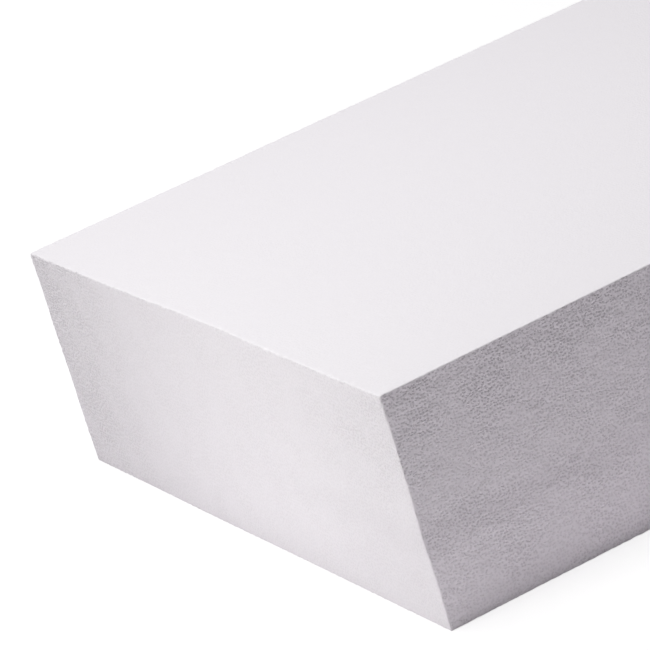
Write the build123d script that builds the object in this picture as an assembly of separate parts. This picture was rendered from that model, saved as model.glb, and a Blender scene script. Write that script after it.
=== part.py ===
from build123d import *
import os

# Facade insulation board: one block of expanded polystyrene, cut square on all
# six sides. Millimetres, +Z up. The board lies flat on its wall face. The origin
# is the middle of that face, +X runs along the board and +Y across it.

# Driving dimensions
board_length = 1000.0  # along X, between the two head joints
board_width = 500.0  # along Y, the height of one course on the wall
board_thickness = 160.0  # along Z, from the wall to the render
cut_edge_radius = 0.8  # the hot wire melts every edge and corner this round

parts_folder = "parts"


def insulation_board():
    """The whole board: a plain block, with the soft edges that a hot wire leaves."""
    with BuildPart() as board:
        Box(
            board_length,
            board_width,
            board_thickness,
            align=(Align.CENTER, Align.CENTER, Align.MIN),
        )
        fillet(board.edges(), radius=cut_edge_radius)
    return board.part


def write_node(solid, node):
    """Write one piece to its own file, named after the piece."""
    export_step(solid, os.path.join(parts_folder, node + ".step"))


os.makedirs(parts_folder, exist_ok=True)
write_node(insulation_board(), "insulation_board")
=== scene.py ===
import math

import bmesh
import bpy
import numpy as np
from mathutils import Matrix, Vector
from mathutils.geometry import delaunay_2d_cdt


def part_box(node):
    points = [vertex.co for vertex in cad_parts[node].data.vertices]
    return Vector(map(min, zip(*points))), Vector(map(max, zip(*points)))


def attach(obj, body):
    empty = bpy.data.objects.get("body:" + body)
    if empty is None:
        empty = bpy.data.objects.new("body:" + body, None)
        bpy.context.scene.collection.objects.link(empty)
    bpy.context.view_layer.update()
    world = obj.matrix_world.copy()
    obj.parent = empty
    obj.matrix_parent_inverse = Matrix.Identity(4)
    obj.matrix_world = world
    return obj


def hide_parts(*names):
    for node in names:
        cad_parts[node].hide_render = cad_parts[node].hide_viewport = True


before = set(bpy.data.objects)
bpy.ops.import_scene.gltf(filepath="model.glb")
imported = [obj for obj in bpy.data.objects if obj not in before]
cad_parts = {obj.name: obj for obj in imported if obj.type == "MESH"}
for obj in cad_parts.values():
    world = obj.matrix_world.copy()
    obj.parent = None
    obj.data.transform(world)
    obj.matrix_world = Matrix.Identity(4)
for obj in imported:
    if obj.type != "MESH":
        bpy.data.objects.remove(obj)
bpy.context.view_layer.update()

# The looks of one facade insulation board: a block of white expanded polystyrene
# that a hot wire has cut on all six sides. Metres, +Z up, +X along the board.

MM = 0.001
NODE = "insulation_board"
LOW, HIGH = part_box(NODE)
SIZE = HIGH - LOW
MIDDLE = (LOW + HIGH) / 2

# ---------------------------------------------------------------- camera

CAMERA_AZIMUTH = math.radians(-23.24)
CAMERA_ELEVATION = math.radians(19.95)
CAMERA_ROLL = math.radians(-17.18)
CAMERA_DISTANCE = 2935.4 * MM
CAMERA_LENS_MM = 261.0
CAMERA_REACH = 100.0
# The point on the top face that the camera looks at, from the near corner.
AIM_ALONG, AIM_ACROSS = 40.5 * MM, 141.0 * MM


def add_camera():
    """A long lens, turned a little about its own axis, on the near top corner."""
    aim = Vector((LOW.x + AIM_ALONG, LOW.y + AIM_ACROSS, HIGH.z))
    level = math.cos(CAMERA_ELEVATION)
    back = Vector((
        math.sin(CAMERA_AZIMUTH) * level,
        -math.cos(CAMERA_AZIMUTH) * level,
        math.sin(CAMERA_ELEVATION),
    ))
    turn = (-back).to_track_quat("-Z", "Y").to_matrix().to_4x4()
    camera = bpy.data.objects.new("camera", bpy.data.cameras.new("camera"))
    camera.matrix_world = (
        Matrix.Translation(aim + back * CAMERA_DISTANCE)
        @ turn
        @ Matrix.Rotation(CAMERA_ROLL, 4, "Z")
    )
    camera.data.lens = CAMERA_LENS_MM
    camera.data.clip_end = CAMERA_REACH
    bpy.context.scene.collection.objects.link(camera)
    bpy.context.scene.camera = camera


# ---------------------------------------------------------------- shader maths


class Wire:
    """An output socket of a shader node, with Python's arithmetic on numbers."""

    def __init__(self, finish, socket):
        self.finish = finish
        self.socket = socket

    def __add__(self, other):
        return self.finish.maths("ADD", self, other)

    def __radd__(self, other):
        return self.finish.maths("ADD", other, self)

    def __sub__(self, other):
        return self.finish.maths("SUBTRACT", self, other)

    def __rsub__(self, other):
        return self.finish.maths("SUBTRACT", other, self)

    def __mul__(self, other):
        return self.finish.maths("MULTIPLY", self, other)

    def __rmul__(self, other):
        return self.finish.maths("MULTIPLY", other, self)

    def __pow__(self, other):
        return self.finish.maths("POWER", self, other)


class Finish:
    """A node tree. Every node in it is made by node()."""

    def __init__(self, tree):
        self.tree = tree
        tree.nodes.clear()

    def node(self, kind, settings=None, sockets=None, output=0):
        """Add a node: its settings first, then the values or links of its sockets."""
        made = self.tree.nodes.new(kind)
        for name, value in (settings or {}).items():
            setattr(made, name, value)
        for name, value in (sockets or {}).items():
            if isinstance(value, Wire):
                self.tree.links.new(value.socket, made.inputs[name])
            else:
                made.inputs[name].default_value = value
        return Wire(self, made.outputs[output]) if len(made.outputs) else made

    def maths(self, operation, *values):
        """One step of arithmetic on wires and numbers."""
        settings = {"operation": operation}
        return self.node("ShaderNodeMath", settings, dict(enumerate(values)))

    def blend(self, share, first, second):
        """A colour between two, by share."""
        # The mix node has several sockets of one name, so its colours go by number.
        sockets = {"Factor": share, 6: first, 7: second}
        return self.node("ShaderNodeMix", {"data_type": "RGBA"}, sockets, 2)

    def parts(self, vector):
        """The three parts of a vector or a colour, each as a number."""
        return [
            self.node("ShaderNodeSeparateXYZ", None, {"Vector": vector}, axis)
            for axis in "XYZ"
        ]

    def step(self, value, low, high, start=0.0, end=1.0):
        """A smooth step from start to end, as value goes from low to high."""
        settings = {"interpolation_type": "SMOOTHSTEP"}
        sockets = {"Value": value, 1: low, 2: high, 3: start, 4: end}
        return self.node("ShaderNodeMapRange", settings, sockets)


# ---------------------------------------------------------------- stage and light

FLOOR_HALF = 30.0
FLOOR_DROP = 0.05 * MM
PAPER = (0.87, 0.84, 0.875, 1.0)  # what the floor bounces is a little rosy
WHITE = (1.0, 1.0, 1.0, 1.0)
FLOOR_GLOW = 0.72  # how much of the floor's white does not depend on the light
FLOOR_SHOWN = 0.41  # how much of it does
FLOOR_WHITE_FROM = (0.75, 1.35)  # metres from the middle, where the glow rises to white
DOME_COLOUR = (1.0, 0.94, 0.99, 1.0)
DOME_STRENGTH = 0.20
NEUTRAL = (1.0, 1.0, 1.0)
CREAM = (0.99, 1.0, 0.955)
ROSY = (1.0, 0.90, 1.0)

# Name, place, the point it faces, its two sides, watts, colour.
LAMPS = (
    ("overhead", (-0.60, 0.00, 1.90), (-0.30, -0.05, 0.08), (1.0, 1.0), 18.6, NEUTRAL),
    ("behind", (-0.50, 0.90, 1.70), (-0.30, -0.05, 0.08), (1.0, 1.0), 7.4, NEUTRAL),
    ("end_fill", (-1.10, -0.15, 0.30), (-0.50, -0.10, 0.05), (0.35, 0.35), 1.42, CREAM),
)
# Cards on the floor that throw light up: name, middle, its two sides, watts, colour.
CARDS = (
    ("side_card", (-0.25, -0.40), (0.28, 0.28), 0.040, ROSY),
    ("corner_card", (-0.44, -0.35), (0.18, 0.18), 0.026, ROSY),
    ("front_card", (-0.05, -0.34), (1.20, 0.10), 0.065, ROSY),
    ("end_card", (-0.64, -0.02), (0.20, 0.24), 0.034, NEUTRAL),
)
CARD_HEIGHT = 0.001


def seen_directly(finish):
    """1 for camera, glossy and transmission rays, 0 for the light that bounces."""
    path = "ShaderNodeLightPath"
    camera = finish.node(path, output="Is Camera Ray")
    glossy = finish.node(path, output="Is Glossy Ray")
    through = finish.node(path, output="Is Transmission Ray")
    return finish.maths("MAXIMUM", finish.maths("MAXIMUM", camera, glossy), through)


def add_world():
    """A soft even dome that is seen as plain white."""
    world = bpy.data.worlds.new("studio")
    world.use_nodes = True
    bpy.context.scene.world = world
    finish = Finish(world.node_tree)
    seen = seen_directly(finish)
    colour = finish.blend(seen, DOME_COLOUR, WHITE)
    strength = DOME_STRENGTH + seen * (1.0 - DOME_STRENGTH)
    light = finish.node("ShaderNodeBackground", None, {"Color": colour, "Strength": strength})
    finish.node("ShaderNodeOutputWorld", None, {"Surface": light})


def floor_finish():
    """White paper: it bounces light as paper does, and looks white where it is lit."""
    material = bpy.data.materials.new("white_paper")
    material.use_nodes = True
    finish = Finish(material.node_tree)
    paper = finish.node("ShaderNodeBsdfDiffuse", None, {"Color": PAPER})
    pale = (FLOOR_SHOWN, FLOOR_SHOWN, FLOOR_SHOWN, 1.0)
    shaded = finish.node("ShaderNodeBsdfDiffuse", None, {"Color": pale})
    place = finish.node("ShaderNodeTexCoord", output="Object")
    away = finish.node("ShaderNodeVectorMath", {"operation": "LENGTH"}, {0: place}, "Value")
    strength = finish.step(away, *FLOOR_WHITE_FROM, FLOOR_GLOW, 1.0)
    glow = finish.node("ShaderNodeEmission", None, {"Color": WHITE, "Strength": strength})
    shown = finish.node("ShaderNodeAddShader", None, {0: shaded, 1: glow})
    sockets = {0: seen_directly(finish), 1: paper, 2: shown}
    surface = finish.node("ShaderNodeMixShader", None, sockets)
    finish.node("ShaderNodeOutputMaterial", None, {"Surface": surface})
    return material


def add_floor():
    """A floor of white paper, far wider than any view of the board."""
    mesh = bpy.data.meshes.new("floor")
    corners = [(-1, -1), (1, -1), (1, 1), (-1, 1)]
    points = [(x * FLOOR_HALF, y * FLOOR_HALF, LOW.z - FLOOR_DROP) for x, y in corners]
    mesh.from_pydata(points, [], [range(4)])
    mesh.materials.append(floor_finish())
    floor = bpy.data.objects.new("floor", mesh)
    bpy.context.scene.collection.objects.link(floor)


def add_lamp(name, place, target, sides, watts, colour):
    """A soft box at place, facing target. The camera does not see it."""
    data = bpy.data.lights.new(name, "AREA")
    data.shape = "RECTANGLE"
    data.size, data.size_y = sides
    data.energy = watts
    data.color = colour
    lamp = bpy.data.objects.new(name, data)
    lamp.location = place
    lamp.rotation_mode = "QUATERNION"
    facing = Vector(target) - Vector(place)
    lamp.rotation_quaternion = facing.to_track_quat("-Z", "Y")
    lamp.visible_camera = False
    bpy.context.scene.collection.objects.link(lamp)


def add_card(name, middle, sides, watts, colour):
    """A lamp that lies on the floor and faces straight up, its sides along X and Y."""
    add_lamp(name, (*middle, CARD_HEIGHT), (*middle, 1.0), sides, watts, colour)


# ---------------------------------------------------------------- the board's shape

CUT_ROUND = 0.8 * MM  # how round the wire leaves each edge
ROUND_STEPS = 3
COARSE = 10 * MM  # grid pitch in the middle of a large face
# Within so far of an edge of a face, that pitch is divided by so much.
LEVELS = ((30 * MM, 2), (12 * MM, 4), (3.2 * MM, 8))
NARROW_PIECES = 2  # and on the narrow faces it is divided by this at least
WELD = 0.01 * MM
MESH_TOLERANCE = 1e-7

# A face is an axis and a side of it. Its two coordinates are those of the other two
# axes, in their order, from the middle of the board, in mm.
FACES = [(axis, side) for axis in range(3) for side in (-1, 1)]
NEAR_END, FAR_END, FRONT, BACK, BOTTOM, TOP = FACES

# Where the wire swung in or out: middle of the swell, its reach each way, and how far.
SWELLS = {
    NEAR_END: (
        (-250, 35, 110, 20, -0.55), (-250, -13, 110, 15, 0.9), (-250, -60, 90, 20, -0.3),
        (160, -50, 60, 25, -0.5), (60, -40, 80, 30, 0.4),
    ),
    FAR_END: ((90, 20, 120, 25, 0.6), (-120, -30, 140, 20, -0.5)),
    FRONT: (
        (-500, 35, 190, 20, -0.55), (-500, -13, 220, 15, 0.9), (-500, -60, 160, 20, -0.3),
        (40, 20, 240, 30, 0.5), (300, -20, 200, 22, -0.5),
    ),
    BACK: ((-260, 10, 220, 24, 0.6), (180, -25, 260, 20, -0.6)),
    TOP: ((-500, 130, 60, 90, -0.5), (-500, 0, 60, 90, 0.7), (-500, -150, 60, 80, -0.5)),
    BOTTOM: ((-200, 0, 200, 160, 0.3),),
}
SWELL_FADE = 12 * MM  # how far inside a face its neighbour's swell still moves it
WAVES = 5  # slight waves that cross every face as well
WAVE_HEIGHT = 0.07
WAVE_LENGTHS = (250, 900)  # along a face's first coordinate
WIDE_WAVE_LENGTHS = (300, 700)  # along the second one, on the two large faces
NARROW_WAVE_LENGTHS = (45, 110)  # and on the others
SWELL_SEED = 11
BEAD_WAVES = 24  # and the beads that stand a little proud along the edges
BEAD_WAVE_LENGTHS = (3.0, 7.0)
BEAD_EDGE = 0.018
TORN_EDGE = 2.2  # the top of the near end was cut more roughly
BEAD_EDGE_REACH = 3.0 * MM

# Beads that the wire pulled out: how many to a face, and the sizes, in mm.
PIT_COUNTS = {NEAR_END: 4, FAR_END: 6, FRONT: 16, BACK: 16, BOTTOM: 24, TOP: 4}
PIT_WIDTHS = (2.2, 4.0)
PIT_DEPTHS = (0.06, 0.11)  # as a share of the width
PIT_OVAL = 0.14
PIT_BOWL = 1.4  # above 1 the rim is soft
PIT_MARGIN = 6.0
PIT_RINGS = (0.0, 0.4, 0.72, 0.93, 1.05, 1.3)
PIT_CLEAR = 1.7
PIT_POINTS = 11
PIT_APART = 4 * PIT_WIDTHS[1]
PIT_SEED = 5
# Those by the near corner: face, place, width and depth.
NEAR_PITS = (
    (FRONT, -480.0, 54.0, 3.2, 0.55),
    (FRONT, -371.0, 38.0, 3.0, 0.45),
)


def smooth(value, low, high):
    """A smooth step from 0 at low to 1 at high."""
    share = np.clip((value - low) / (high - low), 0.0, 1.0)
    return share * share * (3 - 2 * share)


def face_height(face, a, b, waves):
    """How far the wire's swells and waves lift a face, in mm, at places in mm."""
    height = np.zeros(len(a))
    for middle_a, middle_b, reach_a, reach_b, amount in SWELLS[face]:
        away = ((a - middle_a) / reach_a) ** 2 + ((b - middle_b) / reach_b) ** 2
        height += amount * np.exp(-away)
    for length_a, length_b, phase in waves:
        height += WAVE_HEIGHT * np.sin(2 * math.pi * (a / length_a + b / length_b) + phase)
    return height


def swell(points):
    """Move the points with the wire's swells, each face along its own normal only."""
    chance = np.random.default_rng(SWELL_SEED)
    half = np.array(SIZE) / 2
    moved = points.copy()
    inset = half - abs(points)
    from_edge = np.sort(inset, axis=1)[:, 1]
    by_edge = 1.0 - smooth(from_edge, 0.5 * BEAD_EDGE_REACH, BEAD_EDGE_REACH)
    beads = np.zeros(len(points))
    for _ in range(BEAD_WAVES):
        heading = chance.normal(size=3)
        heading /= np.linalg.norm(heading)
        length = chance.uniform(*BEAD_WAVE_LENGTHS) * MM
        phase = chance.uniform(0, 2 * math.pi)
        beads += BEAD_EDGE * np.sin(2 * math.pi * (points @ heading) / length + phase)
    torn = smooth(-points[:, 0], half[0] - 2 * BEAD_EDGE_REACH, half[0])
    torn *= smooth(points[:, 2], half[2] - 2 * BEAD_EDGE_REACH, half[2])
    beads *= 1 + TORN_EDGE * torn
    for face in SWELLS:
        axis, side = face
        a, b = [points[:, i] / MM for i in range(3) if i != axis]
        lengths_b = WIDE_WAVE_LENGTHS if axis == 2 else NARROW_WAVE_LENGTHS
        ranges = (WAVE_LENGTHS, lengths_b, (0, 2 * math.pi))
        waves = [[chance.uniform(*limits) for limits in ranges] for _ in range(WAVES)]
        reach = side * points[:, axis]
        near = smooth(reach, half[axis] - SWELL_FADE, half[axis] - CUT_ROUND)
        height = face_height(face, a, b, waves) + beads * by_edge
        moved[:, axis] += side * near * height * MM
    moved[:, 2] = np.maximum(moved[:, 2], -half[2])  # it stands flat on the floor
    return moved


def pick_pits():
    """Every pulled-out bead as a face, a place, a width, a depth and a turn, in mm."""
    chance = np.random.default_rng(PIT_SEED)
    pits = {face: [] for face in SWELLS}

    def add_pit(face, a, b, width, depth):
        """Note one pit, turned by chance."""
        pits[face].append((a, b, width / 2, depth, chance.uniform(0, math.pi)))

    for pit in NEAR_PITS:
        add_pit(*pit)
    half = np.array(SIZE) / MM / 2 - PIT_MARGIN
    for face, count in PIT_COUNTS.items():
        half_a, half_b = np.delete(half, face[0])
        for _ in range(count):
            a, b = chance.uniform(-half_a, half_a), chance.uniform(-half_b, half_b)
            others = [math.hypot(a - pit[0], b - pit[1]) for pit in pits[face]]
            if all(distance > PIT_APART for distance in others):
                width = chance.uniform(*PIT_WIDTHS)
                add_pit(face, a, b, width, width * chance.uniform(*PIT_DEPTHS))
    return pits


def pit_share(pit, places):
    """How far each place is from a pit's middle, where its oval rim is 1."""
    a, b, radius, _, turn = pit
    offset = places - (a, b)
    angle = np.arctan2(offset[:, 1], offset[:, 0])
    rim = radius * (1 + PIT_OVAL * np.cos(2 * (angle - turn)))
    return np.hypot(*offset.T) / rim


def pit_rings(pit):
    """Rings of points in and around a pit, so that its bowl is round."""
    a, b, radius, _, turn = pit
    angles = np.arange(PIT_POINTS) * 2 * math.pi / PIT_POINTS
    rim = radius * (1 + PIT_OVAL * np.cos(2 * (angles - turn)))
    around = np.column_stack((np.cos(angles), np.sin(angles))) * rim[:, None]
    rings = [around * share for share in PIT_RINGS[1:]]
    return np.concatenate([np.zeros((1, 2))] + rings) + (a, b)


def stations(length, pieces):
    """Even stations from one end of a face to the other, in steps of COARSE / pieces."""
    count = round(length / COARSE) * pieces
    return np.linspace(-length / 2, length / 2, count + 1)


def face_points(width, height, least, pits):
    """Points over a face: coarse in the middle, and finer at its edges and pits."""
    sets = []
    for reach, pieces in ((None, least),) + LEVELS:
        u, v = np.meshgrid(stations(width, pieces), stations(height, pieces))
        points = np.column_stack((u.ravel(), v.ravel()))
        if reach is not None:
            inward = np.minimum(width / 2 - abs(points[:, 0]), height / 2 - abs(points[:, 1]))
            points = points[inward < reach]
        sets.append(points)
    points = np.concatenate(sets)
    points = points[np.unique(np.round(points / WELD), axis=0, return_index=True)[1]]
    for pit in pits:
        points = points[pit_share(pit, points / MM) > PIT_CLEAR]
        points = np.concatenate((points, pit_rings(pit) * MM))
    return points


def face_skin(face, flat, pits):
    """A flat face between its rounded edges, with the pits pressed in."""
    axis, side = face
    others = [i for i in range(3) if i != axis]
    least = 1 if axis == 2 else NARROW_PIECES
    plane = face_points(*flat[others], least, pits)
    found = delaunay_2d_cdt([Vector(p) for p in plane], [], [], 0, MESH_TOLERANCE)
    places = np.array([tuple(p) for p in found[0]])
    dip = np.zeros(len(places))
    for pit in pits:
        share = pit_share(pit, places / MM)
        depth = pit[3] * MM
        dip += depth * np.clip(1 - share * share, 0.0, None) ** PIT_BOWL
    skin = np.zeros((len(places), 3))
    skin[:, others] = places
    skin[:, axis] = side * (flat[axis] / 2 + CUT_ROUND - dip)
    return skin, found[2]


def edge_strip(axis, side_b, side_c, flat):
    """A quarter of a round bar, from one face over to the next."""
    turns = np.linspace(0.0, math.pi / 2, ROUND_STEPS + 1)
    along = stations(flat[axis], LEVELS[-1][1])
    b, c = (axis + 1) % 3, (axis + 2) % 3
    rows = np.zeros((len(turns), len(along), 3))
    rows[:, :, axis] = along
    rows[:, :, b] = side_b * (flat[b] / 2 + CUT_ROUND * np.cos(turns)[:, None])
    rows[:, :, c] = side_c * (flat[c] / 2 + CUT_ROUND * np.sin(turns)[:, None])
    n = len(along)
    quads = [
        (r * n + i, r * n + i + 1, (r + 1) * n + i + 1, (r + 1) * n + i)
        for r in range(ROUND_STEPS)
        for i in range(n - 1)
    ]
    return rows.reshape(-1, 3), quads


def corner_patch(signs, flat):
    """An eighth of a ball, whose three arcs meet the rounded edges' ends."""
    n = ROUND_STEPS
    points, index = [], {}
    for i in range(n + 1):
        for j in range(n + 1 - i):
            k = n - i - j
            quarter = math.pi / 2 / n
            if k == 0:
                spot = (math.cos(j * quarter), math.sin(j * quarter), 0.0)
            elif i == 0:
                spot = (0.0, math.cos(k * quarter), math.sin(k * quarter))
            elif j == 0:
                spot = (math.sin(i * quarter), 0.0, math.cos(i * quarter))
            else:
                spot = np.array((i, j, k)) / np.linalg.norm((i, j, k))
            index[i, j] = len(points)
            points.append(signs * (flat / 2 + CUT_ROUND * np.array(spot)))
    faces = []
    for i in range(n):
        for j in range(n - i):
            faces.append((index[i, j], index[i + 1, j], index[i, j + 1]))
            if i + j < n - 1:
                faces.append((index[i + 1, j], index[i + 1, j + 1], index[i, j + 1]))
    return np.array(points), faces


def add_board():
    """The whole board as one closed skin: six faces, twelve edges and eight corners."""
    flat = np.array(SIZE) - 2 * CUT_ROUND
    patches = [face_skin(face, flat, pits) for face, pits in pick_pits().items()]
    for axis in range(3):
        for side_b in (-1, 1):
            for side_c in (-1, 1):
                patches.append(edge_strip(axis, side_b, side_c, flat))
    for corner in np.ndindex(2, 2, 2):
        patches.append(corner_patch(np.array(corner) * 2 - 1, flat))

    faces, count = [], 0
    for points, patch_faces in patches:
        faces.extend([[i + count for i in face] for face in patch_faces])
        count += len(points)
    places = np.concatenate([points for points, _ in patches])
    mesh = bpy.data.meshes.new("board")
    mesh.from_pydata(places.tolist(), [], faces)
    weld = bmesh.new()
    weld.from_mesh(mesh)
    bmesh.ops.remove_doubles(weld, verts=weld.verts, dist=WELD)
    bmesh.ops.recalc_face_normals(weld, faces=weld.faces)
    weld.to_mesh(mesh)
    weld.free()
    lay_out_charts(mesh)

    cut = np.zeros(len(mesh.vertices) * 3)
    mesh.vertices.foreach_get("co", cut)
    cut = swell(cut.reshape(-1, 3)) + np.array(MIDDLE)
    mesh.vertices.foreach_set("co", cut.ravel())
    mesh.update()
    mesh.shade_smooth()
    board = bpy.data.objects.new("board", mesh)
    bpy.context.scene.collection.objects.link(board)
    return board


# Where each face's chart starts on the sheet, its scale, and whether it is turned, in mm.
CHARTS = {
    FRONT: (0, 0, 1.0, False),
    BACK: (0, 164, 1.0, False),
    NEAR_END: (0, 328, 1.0, False),
    FAR_END: (506, 328, 1.0, False),
    TOP: (0, 494, 0.79, False),
    BOTTOM: (796, 494, 0.41, True),
}
SHEET = 1014
CHART_MARGIN = 4


def lay_out_charts(mesh):
    """One flat chart for each face, with the rounded edges shared between them."""
    loops = np.zeros(len(mesh.loops), int)
    mesh.loops.foreach_get("vertex_index", loops)
    places = np.zeros(len(mesh.vertices) * 3)
    mesh.vertices.foreach_get("co", places)
    places = (places.reshape(-1, 3)[loops] + np.array(SIZE) / 2) / MM
    normals = np.zeros(len(mesh.polygons) * 3)
    mesh.polygons.foreach_get("normal", normals)
    corners = np.zeros(len(mesh.polygons), int)
    mesh.polygons.foreach_get("loop_total", corners)
    normals = np.repeat(normals.reshape(-1, 3), corners, axis=0)
    axes = abs(normals).argmax(axis=1)
    sides = np.sign(normals[np.arange(len(axes)), axes])
    chart = np.zeros((len(loops), 2))
    for (axis, side), (start_u, start_v, scale, turned) in CHARTS.items():
        chosen = (axes == axis) & (sides == side)
        flat = np.delete(places[chosen], axis, axis=1) * scale
        if turned:
            flat = flat[:, ::-1]
        chart[chosen] = flat + (start_u, start_v)
    chart = (chart + CHART_MARGIN) / SHEET
    mesh.uv_layers.new(name="OFBake").data.foreach_set("uv", chart.ravel())


# ---------------------------------------------------------------- foam

FOAM_WHITE = (0.87, 0.853, 0.877, 1.0)
PIT_SHADE = (0.62, 0.60, 0.625, 1.0)  # painted shade, for the hollows in the beads, which hold shade, and for the painted bands
FOAM_ROUGHNESS = 0.75
FOAM_SPECULAR = 0.3
BEAD_PITCH = 2.2  # mm, as everything in the foam's shader
BEAD_SMOOTHNESS = 0.25
BEAD_RANDOMNESS = 0.75
BEND_SIZE, BEND = 5.0, 1.5  # the rows of beads bend a little
SIDE_SHIFT = (41.0, 17.0)  # so that opposite faces do not show the same beads
FACE_LIMIT = math.sqrt(0.5)  # a rounded edge shows the beads of the face it leans to
# Each pair of faces is cut its own way, so that its beads stand out more or less. The same
# shares set how much painted shade lies in the dimples of each face, least on the large
# faces.
LARGE_FACES, LONG_SIDES, ENDS = 0.16, 1.0, 0.55
FACING_STEP = (0.80, 0.97)  # the relief dies out where a face rounds into an edge
# The wire dragged more where it came onto an end, and at the top where it left, which deepens
# the relief there and the painted shade in its dimples.
END_DRAG_START, END_DRAG_STOP = 0.72, 0.40
END_DRAG_REACH, END_DRAG_UP = (115.0, 225.0), (60.0, 125.0)
SIDE_DRAG, SIDE_DRAG_REACH = 0.28, (95.0, 150.0)  # and along the top of the long sides
DIMPLE_DEPTH, DIMPLE_REACH = 0.40, 0.5  # the reach as a share of the bead pitch
PATCH_SIZE, PATCH_STEP, PATCH_SHARES = 22.0, (0.35, 0.65), (0.75, 1.15)  # deeper in places
GRAIN_SIZE, GRAIN_DEPTH = 0.7, 0.05
LUMP_SIZE, LUMP_HEIGHT = 8.0, 1.5  # slower lumps, where groups of beads stand proud
# Two soft bands that fade away from the near corner: a dark one of painted shade and a pale
# one of painted light.
# For each, mm above the floor, the mm over which it fades up and down, and its share of
# shade.
NEAR_CORNER, BAND_FADE = (-500.0, -250.0), (50.0, 280.0)
PAINTED_SHADE_BAND = (60.0, (3.0, 16.0), 0.24)
PAINTED_LIGHT_BAND = (90.0, (4.0, 24.0), 0.05)
BAND_WANDER, BAND_WANDER_SIZE = 14.0, 60.0
BAND_ON_END = 0.25
MEAN_DIP = 0.065  # added back, so that the relief dies out level with the surface
PIT_SHADE_SHARE = 0.45


def foam_finish():
    """Fused beads cut by a hot wire: a dimple in each, and ridges between them."""
    material = bpy.data.materials.new("white_bead_foam")
    material.use_nodes = True
    finish = Finish(material.node_tree)
    metres = finish.node("ShaderNodeTexCoord", output="Object")
    sockets = {0: metres, "Scale": 1 / MM}
    place = finish.node("ShaderNodeVectorMath", {"operation": "SCALE"}, sockets)
    x, y, z = finish.parts(place)
    facing = finish.parts(finish.node("ShaderNodeTexCoord", output="Normal"))
    across = [finish.maths("ABSOLUTE", part) for part in facing]
    is_end, is_long, is_large = [finish.step(part, *FACING_STEP) for part in across]
    start = finish.step(y, *END_DRAG_REACH) * END_DRAG_START
    stop = finish.step(0 - y, *END_DRAG_REACH) * finish.step(z, *END_DRAG_UP) * END_DRAG_STOP
    lift = finish.step(z, *SIDE_DRAG_REACH) * SIDE_DRAG
    relief = is_end * (ENDS + start + stop) + is_large * LARGE_FACES
    relief = relief + is_long * (LONG_SIDES + lift)

    def noise(size, detail=0.0, output="Fac"):
        """A noise whose patches are about so many mm wide."""
        sockets = {"Vector": place, "Scale": 1 / size, "Detail": detail}
        return finish.node("ShaderNodeTexNoise", None, sockets, output)

    # Beads are laid over each face in its own plane, and bent a little by a slow noise.
    bend_x, bend_y, _ = finish.parts(noise(BEND_SIZE, output="Color"))
    side = finish.maths("SIGN", facing[0] + facing[1] + facing[2])
    on_end, _, on_large = [finish.maths("GREATER_THAN", part, FACE_LIMIT) for part in across]
    u = x + (y - x) * on_end + bend_x * BEND + side * SIDE_SHIFT[0]
    v = z + (y - z) * on_large + bend_y * BEND + side * SIDE_SHIFT[1]
    flat = finish.node("ShaderNodeCombineXYZ", None, {"X": u, "Y": v})

    sockets = {
        "Vector": flat,
        "Scale": 1 / BEAD_PITCH,
        "Smoothness": BEAD_SMOOTHNESS,
        "Randomness": BEAD_RANDOMNESS,
    }
    settings = {"voronoi_dimensions": "2D", "feature": "SMOOTH_F1"}
    middle = finish.node("ShaderNodeTexVoronoi", settings, sockets)
    patchy = finish.step(noise(PATCH_SIZE, 1.0), *PATCH_STEP, *PATCH_SHARES)
    dimple = finish.step(middle, 0.0, DIMPLE_REACH, 1.0, 0.0) * patchy
    grain = noise(GRAIN_SIZE, 2.0)
    lumps = (noise(LUMP_SIZE, 1.0) - 0.5) * LUMP_HEIGHT
    height = grain * GRAIN_DEPTH - dimple * DIMPLE_DEPTH + lumps
    height = (height + MEAN_DIP) * relief

    # Painted shade and painted light in two bands by the near corner, fading with the
    # distance from it.
    corner = ((x - NEAR_CORNER[0]) ** 2 + (y - NEAR_CORNER[1]) ** 2) ** 0.5
    fading = finish.step(corner, *BAND_FADE, 1.0, 0.0) * (is_long + is_end * BAND_ON_END)
    wander = (noise(BAND_WANDER_SIZE) - 0.5) * BAND_WANDER

    def painted_band(middle, reach, share):
        """A painted band of shade around a height above the floor, as a share of shade."""
        away = finish.maths("ABSOLUTE", z - middle + wander)
        return finish.step(away, *reach, 1.0, 0.0) * share

    painted_bands = (painted_band(*PAINTED_SHADE_BAND) - painted_band(*PAINTED_LIGHT_BAND)) * fading
    # Painted shade: each dimple is darkened as a shaded hollow, by its face's share of
    # relief, and the painted bands are added.
    shade = dimple * relief * PIT_SHADE_SHARE + painted_bands
    colour = finish.blend(shade, FOAM_WHITE, PIT_SHADE)
    bumps = finish.node("ShaderNodeBump", None, {"Height": height, "Distance": MM})
    sockets = {
        "Base Color": colour,
        "Normal": bumps,
        "Roughness": FOAM_ROUGHNESS,
        "Specular IOR Level": FOAM_SPECULAR,
    }
    foam = finish.node("ShaderNodeBsdfPrincipled", None, sockets)
    finish.node("ShaderNodeOutputMaterial", None, {"Surface": foam})
    return material


# ---------------------------------------------------------------- all together

add_camera()
add_world()
add_floor()
for lamp in LAMPS:
    add_lamp(*lamp)
for card in CARDS:
    add_card(*card)
bpy.context.scene.view_settings.view_transform = "Standard"

board = add_board()
board.data.materials.append(foam_finish())
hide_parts(NODE)
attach(board, "root")
